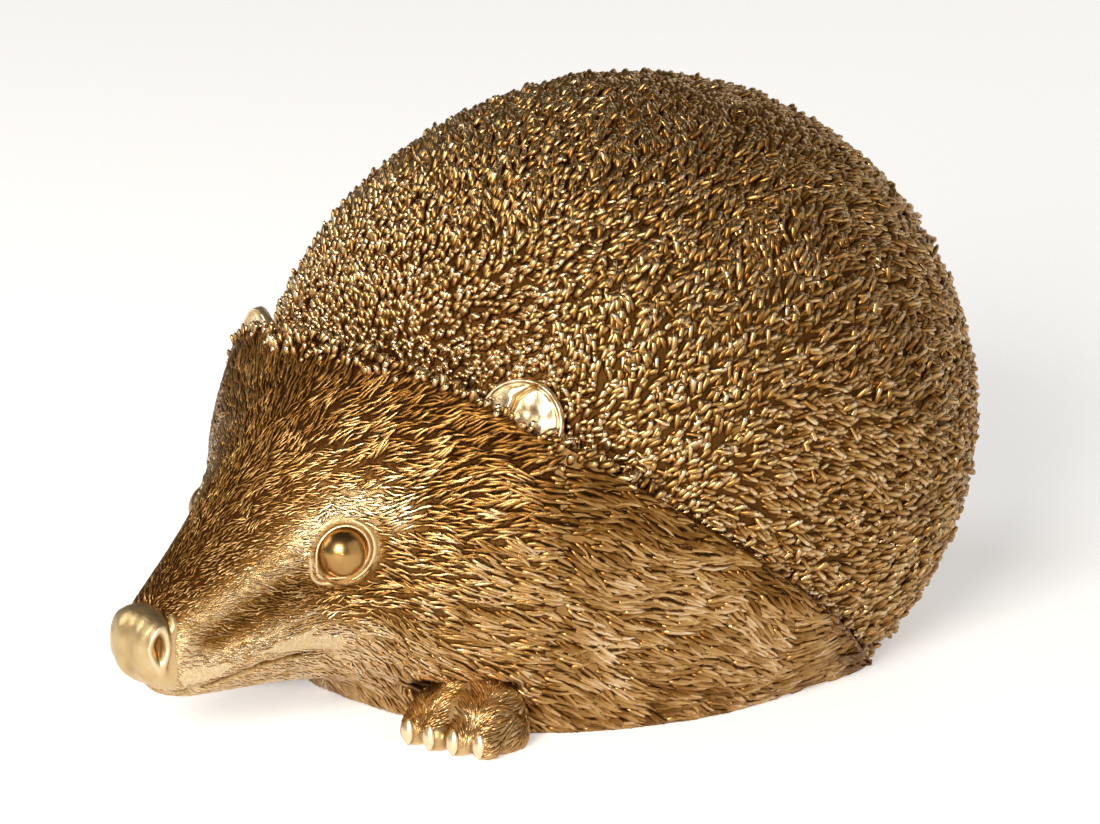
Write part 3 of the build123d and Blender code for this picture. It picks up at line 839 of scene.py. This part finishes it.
def make_fur(ground, coat):
    """Strands of fur on the head and flanks, gathered in locks."""
    rng = np.random.default_rng(FUR_SEED)
    tree = face_tree(*joined(ground, coat_egg(FUR_COAT_COVER)))
    places, normals = fur_roots(ground, coat, rng)
    count = len(places)

    # Neighbouring strands lean together and share a turn, a lift and a tone
    heads = thinned(places, LOCK_SIZE * by_station(FUR_SPACINGS, places))
    lock_tree = point_tree(places[heads])
    lock = np.array([lock_tree.find(place)[1] for place in places.tolist()])
    lock_turn = rng.normal(scale=LOCK_TURN, size=len(heads))[lock]
    lock_turn += FUR_SWIRL_TURN * swirl(places, FUR_SWIRL_SIZE, rng)
    lock_lift = rng.uniform(0.8, 1.25, len(heads))[lock]
    lock_tone = rng.uniform(-0.2, 0.2, len(heads))[lock]
    offset = places - places[heads][lock]

    turn = lock_turn + rng.normal(scale=STRAND_TURN, size=count)
    wave = rng.normal(scale=STRAND_WAVE, size=count)
    length = by_station(FUR_LENGTHS, places) * rng.uniform(0.75, 1.2, count)
    seam_gap = NECK_SEAM - places[:, 1]
    seam_reach = seam_gap + rng.uniform(1.4, 3.2, count)
    length = np.where(seam_gap > 0, np.minimum(length, seam_reach), length)
    width = by_station(FUR_HALF_WIDTHS, places) * rng.uniform(0.8, 1.2, count)
    lift = by_station(FUR_LIFTS, places) * lock_lift
    centre, normal = places, normals
    centres, ups = [], []
    for ring, share in enumerate(FUR_SHARES):
        if ring:
            flow = fur_flow(centre, normal)
            across = np.cross(normal, flow)
            way = turned(flow, across, turn + wave * math.sin(math.pi * 1.6 * share))
            lean = np.sum(offset * across, axis=1)[:, None] * across * LOCK_LEAN
            step = share - FUR_SHARES[ring - 1]
            centre, normal = settle(tree, centre + way * (length * step)[:, None] - lean * step)
        centres.append(centre + normal * (lift * FUR_RING_LIFTS[ring])[:, None])
        ups.append(normal)
    centres, ups = np.stack(centres, axis=1), np.stack(ups, axis=1)
    centres[..., 2] = np.maximum(centres[..., 2], FUR_PATH_GROUND)
    widths = width[:, None] * FUR_GIRTHS
    heights = FUR_FLATNESS * widths
    tone = patina_and_painted_light(places) + lock_tone + rng.uniform(-0.28, 0.28, count)
    # Painted shade in the neck seam: strands darker right at the seam
    tone = np.clip(tone - 0.2 * bell(seam_gap, SEAM_WIDTH), 0, 1)
    rise = 0.4 + 0.6 * FUR_SHARES

    region = np.digitize(places[:, 1], (SNOUT_END, CAPE_FRONT, NECK_SEAM))
    region += (region == 3) & (places[:, 0] < 0)
    for index, name in enumerate(("snout_fur", "face_fur", "cape_fur", "left_flank_fur", "right_flank_fur")):
        part = region == index
        strands = bundle(centres[part], ups[part], widths[part], heights[part], FUR_PROFILE)
        add_strands(name, strands, FUR_GROUND, fur_gold, "gold_fur", rise, tone[part])


# Eyelids

TEAR_ANGLE = math.radians(-36)
TEAR_WIDTH = 0.34
LID_NARROWING = 0.12
LID_RADII = (3.9, 4.25, 4.5, 4.8, 5.05, 5.35, 5.7, 6.3, 7.0)
LID_HEIGHTS = (-1.0, -0.05, 0.5, 0.42, 0.0, 0.38, 0.4, -0.05, -0.7)
LID_RISES = (0.2, 0.35, 0.9, 0.75, 0.15, 0.75, 0.7, 0.4, 0.2)
LID_TEARS = (0.0, 0.5, 1.0, 1.05, 1.1, 1.2, 1.2, 1.0, 0.8)
LID_RINGS = 33
LID_COLUMNS = 96
LID_THICKNESS = 0.8
SKIN_PROBE_RADIUS = 6.6
SKIN_PROBE_HEIGHT = 8.0
SKIN_PROBE_REACH = 14.0


def make_lids(name, side, tree):
    """The lids of an eye: an inner margin, a crease and an outer fold, drawn out to a tear corner."""
    flip = np.array([side, 1, 1])
    place, facing = EYE_PLACE * flip, unit(EYE_FACING * flip)
    forward = along_plane(-ALONG, facing)
    upward = side * np.cross(forward, facing)
    turn = np.linspace(0, 2 * math.pi, LID_COLUMNS, endpoint=False)
    tear = bell(np.angle(np.exp(1j * (turn - TEAR_ANGLE))), TEAR_WIDTH)
    flat = turned(forward, upward, turn)
    probes = place + SKIN_PROBE_RADIUS * flat + SKIN_PROBE_HEIGHT * facing
    drops = [tree.ray_cast(Vector(probe), Vector(-facing), SKIN_PROBE_REACH)[3] for probe in probes]
    skin = np.array([0.0 if drop is None else SKIN_PROBE_HEIGHT - drop for drop in drops])
    skin = sum(np.roll(skin, shift) for shift in range(-4, 5)) / 9

    def by_ring(values):
        fine = np.linspace(0, len(values) - 1, LID_RINGS)
        return np.interp(fine, np.arange(len(values)), values)[:, None]

    radii = by_ring(LID_RADII) + by_ring(LID_TEARS) * tear
    radii = radii * (1 - LID_NARROWING * np.sin(turn - TEAR_ANGLE) ** 2)
    heights = by_ring(LID_HEIGHTS) + skin * (radii / SKIN_PROBE_RADIUS) ** 2
    grid = place + flat * radii[..., None] + facing * heights[..., None]
    grid[1:-1] = 0.25 * grid[:-2] + 0.5 * grid[1:-1] + 0.25 * grid[2:]
    index, beside, walls = ring_grid(LID_RINGS, LID_COLUMNS)
    lower = walls[:, ::-1] + index.size
    inner = np.stack([index[0], beside[0], beside[0] + index.size, index[0] + index.size], axis=-1)
    outer = np.stack([beside[-1], index[-1], index[-1] + index.size, beside[-1] + index.size], axis=-1)
    faces = np.concatenate([walls, lower, inner, outer])
    if side < 0:
        faces = faces[:, ::-1]
    points = np.concatenate([grid.reshape(-1, 3), (grid - facing * LID_THICKNESS).reshape(-1, 3)])
    rise = np.repeat(by_ring(LID_RISES), LID_COLUMNS)
    rise = np.concatenate([rise, 0 * rise])
    tone = np.full(len(points), 0.45)
    add_piece(f"{name}_eyelids", points, faces.tolist(), polish_gold, "gold_polish", rise=rise, tone=tone)


# Nose

NOSE_CENTRE = np.array([0.0, -82.3, 21.5])
NOSE_RADII = np.array([6.4, 5.3, 6.4])
NOSE_RINGS = 64
NOSE_BACK_RINGS = 24
NOSE_COLUMNS = 128
NOSE_SQUARENESS = 3.2
NOSE_BACK = 3.4
NOSE_BACK_TAPER = 0.12
NOSE_SET_BACK = 0.9
NOSE_LIP_DROP = 2.4
NOSTRIL = np.array([5.8, -85.5, 22.0])
NOSTRIL_HALF_HEIGHT = 2.9
NOSTRIL_HALF_WIDTH = 1.35
NOSTRIL_ROUNDNESS = 1.5
NOSTRIL_ACROSS = np.array([1.0, 1.35])
WING_GROOVE = [
    (3.4, -83.4, 28.0), (5.6, -83.6, 26.6), (6.9, -83.9, 24.0), (7.2, -83.9, 21.0), (6.6, -83.8, 17.6),
]
WING_RIDGE = [
    (3.8, -81.8, 28.4), (6.2, -82.0, 26.6), (7.4, -82.3, 23.8), (7.5, -82.3, 20.6), (6.8, -82.2, 17.4),
]


def nose_grid():
    """Rings of the plain nose: a blunt front and a back that tapers into the snout."""
    tilt = np.linspace(0.02, math.pi / 2, NOSE_RINGS)[:, None]
    turn = np.linspace(0, 2 * math.pi, NOSE_COLUMNS, endpoint=False)
    ahead = np.broadcast_to(-np.cos(tilt), (NOSE_RINGS, NOSE_COLUMNS))
    ways = np.stack([np.sin(tilt) * np.cos(turn), ahead, np.sin(tilt) * np.sin(turn)], axis=-1)
    size = np.sum(np.abs(ways) ** NOSE_SQUARENESS, axis=-1) ** (-1 / NOSE_SQUARENESS)
    front = NOSE_CENTRE + ways * size[..., None] * NOSE_RADII
    depths = np.linspace(0.04, 1, NOSE_BACK_RINGS)[:, None, None]
    inward = (NOSE_CENTRE - front[-1:]) * (1 - ALONG)
    back = front[-1:] + depths * NOSE_BACK * ALONG + NOSE_BACK_TAPER * depths**2 * inward
    return np.concatenate([front, back])


def make_nose():
    """The nose pad: blunt, with almond nostrils, a middle line and a wing behind each nostril."""
    grid = nose_grid()
    points = grid.reshape(-1, 3)
    index, _, walls = ring_grid(*grid.shape[:2])
    faces = walls.tolist() + [index[0].tolist(), index[-1, ::-1].tolist()]
    normals = point_normals(points, halved(walls))
    folded = mirrored(points)
    rise_to = (folded - NOSTRIL)[:, 2] / NOSTRIL_HALF_HEIGHT
    out_to = ((folded - NOSTRIL)[:, :2] @ unit(NOSTRIL_ACROSS)) / NOSTRIL_HALF_WIDTH
    almond = np.abs(rise_to) ** NOSTRIL_ROUNDNESS + np.abs(out_to) ** NOSTRIL_ROUNDNESS
    almond = almond ** (1 / NOSTRIL_ROUNDNESS)
    front = eased(-81.5, -83.5, points[:, 1])
    hollow = eased(1.0, 0.35, almond) * front
    rim = bell(almond - 1.2, 0.3) * front
    middle = bell(points[:, 0], 1.5) * eased(-84.0, -86.0, points[:, 1])
    groove, ridge = near(folded, WING_GROOVE, 0.5), near(folded, WING_RIDGE, 0.75)
    swell = bell(folded[:, 0] - 2.4, 1.3) * front * eased(27.5, 24.0, points[:, 2])
    form = 0.4 * rim - 1.3 * hollow - 0.3 * middle - 0.9 * groove + 0.55 * ridge + 0.25 * swell
    points = points + normals * form[:, None]
    height = (points[:, 2] - NOSE_CENTRE[2]) / NOSE_RADII[2]
    points[:, 2] -= NOSE_LIP_DROP * eased(-87.0, -80.0, points[:, 1]) * eased(0.2, -0.9, height)
    points[:, 1] += NOSE_SET_BACK * eased(0.0, 1.0, height) * eased(-80.5, -84.0, points[:, 1])
    points[:, 2] -= 0.5 * NOSE_SET_BACK * eased(0.4, 1.0, height)
    rise = 0.58 + 0.35 * rim - 0.6 * hollow - 0.75 * groove + 0.25 * ridge - 0.12 * middle
    tone = np.full(len(points), 0.6)
    add_piece("nose_pad", points, faces, polish_gold, "gold_polish", nodes=["nose"], rise=rise, tone=tone)


# Ears

EAR_Y = -29.5
EAR_RADIUS = 7.5
EAR_RINGS = 44
EAR_COLUMNS = 144
EAR_RISE = 1.5
EAR_TILTS = {1: math.radians(3), -1: math.radians(24)}
EAR_TURN = math.radians(17)
EAR_FOOT = -1.8
EAR_FOOT_SQUEEZE = 0.3
EAR_SHIFT = 0.9
EAR_LIFT = 0.5
EAR_SLANT = 0.2
EAR_THICKNESS = 1.1
EAR_BACK_HOLLOW = 1.4
EAR_CLEARING = 5.8
EAR_GROOVE = [(-2.2, 6.8), (-2.9, 4.8), (-3.4, 2.8), (-2.6, 0.6), (-2.9, -1.2)]
EAR_BOWL = np.array([-0.4, 1.4])
EAR_BOWL_RADIUS = 2.9
FRONT_LOBE = np.array([-4.8, 2.2])
REAR_LOBE = np.array([4.2, 1.0])


def ear_axes(side):
    """Middle of an ear and its directions along the seat, to its tip and out of its cup."""
    level = SEAT_FRONT[2] - (EAR_Y - SEAT_FRONT[1]) * math.tan(SEAT_SLOPE)
    share = (EAR_Y - COAT_CENTRE[1]) / COAT_FRONT_REACH
    across = math.sqrt(COAT_RADIUS**2 * (1 - share**2) - (level - COAT_CENTRE[2]) ** 2)
    root = np.array([side * across, EAR_Y, level])
    out = unit((root - COAT_CENTRE) / np.array([COAT_RADIUS, COAT_FRONT_REACH, COAT_RADIUS]) ** 2)
    along = unit(np.cross(seat_normal, out))
    tip = np.cross(out, along)
    leaned_tip = turned(tip, out, EAR_TILTS[side])
    leaned_out = turned(out, -tip, EAR_TILTS[side])
    turned_along = turned(along, -side * leaned_tip, EAR_TURN)
    turned_tip = turned(leaned_tip, side * along, EAR_TURN)
    centre = root + leaned_tip * EAR_RISE + side * along * EAR_SHIFT + leaned_out * EAR_LIFT
    return centre, turned_along, turned_tip, leaned_out


def make_ear(name, side):
    """An ear: a half-moon shell with a thin rim, two lobes, a curved groove and a bowl in the middle."""
    centre, along, tip, out = ear_axes(side)
    shares = np.linspace(0.02, 1.0, EAR_RINGS)
    turn = np.linspace(0, 2 * math.pi, EAR_COLUMNS, endpoint=False)
    flat_x = EAR_RADIUS * shares[:, None] * np.cos(turn)
    flat_y = EAR_RADIUS * shares[:, None] * np.sin(turn)
    flat_y = np.where(flat_y < EAR_FOOT, EAR_FOOT + (flat_y - EAR_FOOT) * EAR_FOOT_SQUEEZE, flat_y)
    spots = np.stack([flat_x, flat_y], axis=-1).reshape(-1, 2)
    radius = np.repeat(shares, EAR_COLUMNS)
    facing = np.stack([side * spots[:, 0], spots[:, 1]], axis=1)

    def gap_to(place):
        return np.linalg.norm(facing - place, axis=1)

    groove = near(facing, EAR_GROOVE, 0.4)
    bowl_gap = gap_to(EAR_BOWL) / EAR_BOWL_RADIUS
    bowl = eased(1.0, 0.2, bowl_gap)
    bowl_edge = bell(bowl_gap - 1.1, 0.16) * eased(1.5, -1.0, facing[:, 1] + 0.5 * facing[:, 0])
    rim = bell(radius - 0.955, 0.035)
    moat = bell(radius - 0.875, 0.035)
    swell = np.sin(1.9 * facing[:, 0] + 0.6) * np.sin(1.5 * facing[:, 1] + 0.9)
    face = 1.5 + 0.35 * rim - 0.22 * moat + 0.1 * swell
    face += 0.45 * bell(gap_to(REAR_LOBE), 2.6) + 0.4 * bell(gap_to(FRONT_LOBE), 1.9)
    face += 0.3 * bowl_edge - 0.6 * groove - 0.4 * bowl
    face += EAR_SLANT * facing[:, 0] - 0.6 * eased(0.965, 1.0, radius)
    back = face - EAR_THICKNESS - EAR_BACK_HOLLOW * (1 - radius**2)
    back = np.where(radius > 0.995, face - 0.5, back)

    def lifted(height):
        return centre + spots[:, :1] * along + spots[:, 1:] * tip + height[:, None] * out

    index, beside, walls = ring_grid(EAR_RINGS, EAR_COLUMNS)
    shift = index.size
    edge = np.stack([index[-1], index[-1] + shift, beside[-1] + shift, beside[-1]], axis=-1)
    caps = [index[0].tolist(), (index[0, ::-1] + shift).tolist()]
    faces = np.concatenate([walls, walls[:, ::-1] + shift, edge]).tolist() + caps
    points = np.concatenate([lifted(face), lifted(back)])
    paleness = 1.0 + 0.2 * rim - 0.35 * moat - 0.75 * groove - 0.25 * bowl + 0.2 * bowl_edge
    rise = np.concatenate([paleness, np.full(shift, 0.3)])
    tone = np.full(2 * shift, 0.55)
    node = f"{name}_ear"
    add_piece(f"{node}_shell", points, faces, polish_gold, "gold_polish", nodes=[node], rise=rise, tone=tone)


# Paws

PAW_VOXEL = 0.3
PAW_GROUND = 0.03
PAW_HOLLOW_ROUNDS = 14
PAW_PLACE = np.array([29.4, -42.8, 0.0])
PAW_TURN = math.radians(15)
TOE_COUNT = 4
TOE_SPACING = 4.7
TOE_SWEEP = 0.7
TOE_RADIUS = 2.7
TOE_TIP = (0.6, 2.3)
TOE_BALLS = 6
KNUCKLE = (-3.6, 5.4)
PAW_LUMPS = (
    ((0.0, -4.6, 4.0), (8.9, 4.6, 5.4)),
    ((0.0, -8.2, 5.2), (9.6, 5.2, 6.4)),
    ((6.4, -6.4, 2.6), (4.0, 5.6, 4.6)),
)
CLAW_TOP = 4.9
CLAW_FOOT = 0.35
CLAW_HALF_WIDTH = 1.2
CLAW_FLATNESS = 0.5
CLAW_GIRTHS = np.array([0.2, 0.5, 0.74, 0.9, 1.0, 1.0, 0.95, 0.84, 0.66, 0.44, 0.16])
CLAW_CORNERS = 12
PAW_FUR_SEED = 31
PAW_FUR_TRIES = 16000
PAW_FUR_SPACING = 0.54
PAW_FUR_LENGTH = 4.2
PAW_FUR_HALF_WIDTH = 0.27
PAW_FUR_SHARES = np.array([0.0, 0.3, 0.7, 1.0])
PAW_FUR_GIRTHS = np.array([0.7, 1.0, 0.8, 0.15])
PAW_FUR_LOW = 4.6
PAW_FUR_OUTER_LOW = 0.8
PAW_FUR_REAR = -11.0
PAW_FUR_LEAST_FACING = -0.3
PAW_TUFTS = 2


def paw_axes():
    """A paw's axes across, forward and up, as rows of a matrix that is its own inverse."""
    cos_turn, sin_turn = math.cos(PAW_TURN), math.sin(PAW_TURN)
    return np.array([[cos_turn, sin_turn, 0.0], [sin_turn, -cos_turn, 0.0], [0.0, 0.0, 1.0]])


def paw_places(places, side):
    """Places given in a paw's own axes, set in the frame."""
    return (PAW_PLACE + places @ paw_axes()) * np.array([side, 1, 1])


def paw_local(points, side):
    """The inverse of paw_places."""
    return (points * np.array([side, 1, 1]) - PAW_PLACE) @ paw_axes()


def toe_across():
    """Where the toes stand across a paw."""
    return (np.arange(TOE_COUNT) - (TOE_COUNT - 1) / 2) * TOE_SPACING


def paw_skin(side):
    """Points and triangles of a paw without claws: toes, back and wrist grown together."""
    lumps = [(np.array(centre), np.array(radii)) for centre, radii in PAW_LUMPS]
    for across in toe_across():
        back = TOE_SWEEP * abs(across) / TOE_SPACING
        tip = np.array([across, TOE_TIP[0] - back, TOE_TIP[1]])
        knuckle = np.array([across, KNUCKLE[0] - back, KNUCKLE[1]])
        for share in np.linspace(0, 1, TOE_BALLS):
            lumps.append((knuckle + (tip - knuckle) * share, np.full(3, TOE_RADIUS)))
    form = bmesh.new()
    for centre, radii in lumps:
        ball = bmesh.ops.create_icosphere(form, subdivisions=3, radius=1.0)
        spots = np.array([corner.co[:] for corner in ball["verts"]]) * radii + centre
        for corner, place in zip(ball["verts"], paw_places(spots, side).tolist()):
            corner.co = place
    mesh = bpy.data.meshes.new("paw_form")
    form.to_mesh(mesh)
    form.free()
    points, triangles = remeshed(mesh, PAW_VOXEL, 1.0)
    points = relaxed(points, triangles, 4)
    points[:, 2] = np.maximum(points[:, 2], PAW_GROUND)
    return points, triangles


def make_paw_fur(name, side, points, triangles):
    """Short fur on top of a paw, combed into a fan between the toes of each pair."""
    rng = np.random.default_rng(PAW_FUR_SEED)
    tree = face_tree(points, triangles)
    places, normals = scatter(points, triangles, rng, PAW_FUR_TRIES)
    local = paw_local(places, side)
    outer = local[:, 0] > toe_across()[-1] + 0.5 * TOE_RADIUS
    shown = local[:, 2] > np.where(outer, PAW_FUR_OUTER_LOW, PAW_FUR_LOW)
    shown &= (local[:, 1] > PAW_FUR_REAR) & (normals[:, 2] > PAW_FUR_LEAST_FACING)
    places, normals = places[shown], normals[shown]
    kept = thinned(places, np.full(len(places), PAW_FUR_SPACING))
    centre, normal = places[kept], normals[kept]
    count = len(centre)
    local = paw_local(centre, side)
    fan_width = TOE_COUNT * TOE_SPACING / PAW_TUFTS
    fan = np.clip(np.round(local[:, 0] / fan_width - 0.5), -PAW_TUFTS / 2, PAW_TUFTS / 2 - 1) + 0.5
    aside = local[:, 0] - fan * fan_width
    comb_local = np.stack([-0.32 * aside, np.full(count, 0.75), np.full(count, -0.75)], axis=1)
    comb_local += rng.normal(scale=0.03, size=comb_local.shape)
    comb = paw_places(local + comb_local, side) - paw_places(local, side)
    length = PAW_FUR_LENGTH * rng.uniform(0.7, 1.2, count)
    centres, ups = [], []
    for ring, share in enumerate(PAW_FUR_SHARES):
        if ring:
            step = along_plane(comb, normal) * (length * (share - PAW_FUR_SHARES[ring - 1]))[:, None]
            centre, normal = settle(tree, centre + step)
        centres.append(centre + normal * (0.22 * math.sin(math.pi * min(share + 0.1, 0.8)) - 0.12))
        ups.append(normal)
    widths = PAW_FUR_HALF_WIDTH * PAW_FUR_GIRTHS[None]
    strands = bundle(np.stack(centres, axis=1), np.stack(ups, axis=1), widths, widths, FUR_PROFILE)
    tone = rng.uniform(0.5, 0.9, count)
    rise = 0.4 + 0.5 * PAW_FUR_SHARES
    add_strands(f"{name}_paw_fur", strands, FUR_GROUND, fur_gold, "gold_fur", rise, tone)


def paw_claws(side):
    """Points and faces of a paw's claws, one down the front of each toe."""
    across = toe_across()
    shares = np.linspace(0, 1, len(CLAW_GIRTHS))
    forward = TOE_TIP[0] - TOE_SWEEP * np.abs(across) / TOE_SPACING
    bulge = TOE_RADIUS - 0.6 + 0.45 * np.sin(math.pi * shares * 0.8)
    level = CLAW_TOP + (CLAW_FOOT - CLAW_TOP) * shares
    grid = np.broadcast_arrays(across[:, None], forward[:, None] + bulge, level)
    centres = paw_places(np.stack(grid, axis=-1), side)
    ahead = paw_places(ALONG, side) - paw_places(np.zeros(3), side)
    widths = CLAW_HALF_WIDTH * CLAW_GIRTHS[None]
    return bundle(centres, ahead, widths, CLAW_FLATNESS * widths, round_profile(CLAW_CORNERS))


def make_paw(name, side):
    """A paw with arched toes and a polished claw down the front of each."""
    points, triangles = paw_skin(side)
    make_paw_fur(name, side, points, triangles)
    claw_points, claw_faces = paw_claws(side)
    faces = triangles.tolist() + [[corner + len(points) for corner in face] for face in claw_faces]
    claw_tree = point_tree(claw_points)
    gap = np.array([claw_tree.find(place)[2] for place in points.tolist()])
    inward = relaxed(points, triangles, PAW_HOLLOW_ROUNDS) - points
    hollow = np.sum(inward * point_normals(points, triangles), axis=1)
    paleness = 0.42 - 2.4 * hollow - 0.5 * bell(gap, 0.45)
    rise = np.concatenate([np.clip(paleness, 0, 1), np.ones(len(claw_points))])
    tone = np.concatenate([np.full(len(points), 0.5), np.full(len(claw_points), 0.9)])
    points = np.concatenate([points, claw_points])
    node = f"{name}_front_paw"
    add_piece(f"{name}_paw", points, faces, polish_gold, "gold_fur", nodes=[node], rise=rise, tone=tone)


head_skin = make_head_skin()
coat_base = make_coat_base()
fur_ground = joined(head_skin, mesh_arrays(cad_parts["belly"].data))
make_quills(fur_ground)
make_fur(fur_ground, coat_base)
make_nose()
for name, side in SIDES:
    make_lids(name, side, face_tree(*head_skin))
    make_ear(name, side)
    make_paw(name, side)

node_materials = {"felt_pad": felt_brown, "left_eye": eye_gold, "right_eye": eye_gold, "belly": flank_patina}
for name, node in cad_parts.items():
    for slot in node.material_slots:
        slot.material = node_materials.get(name, coat_patina)
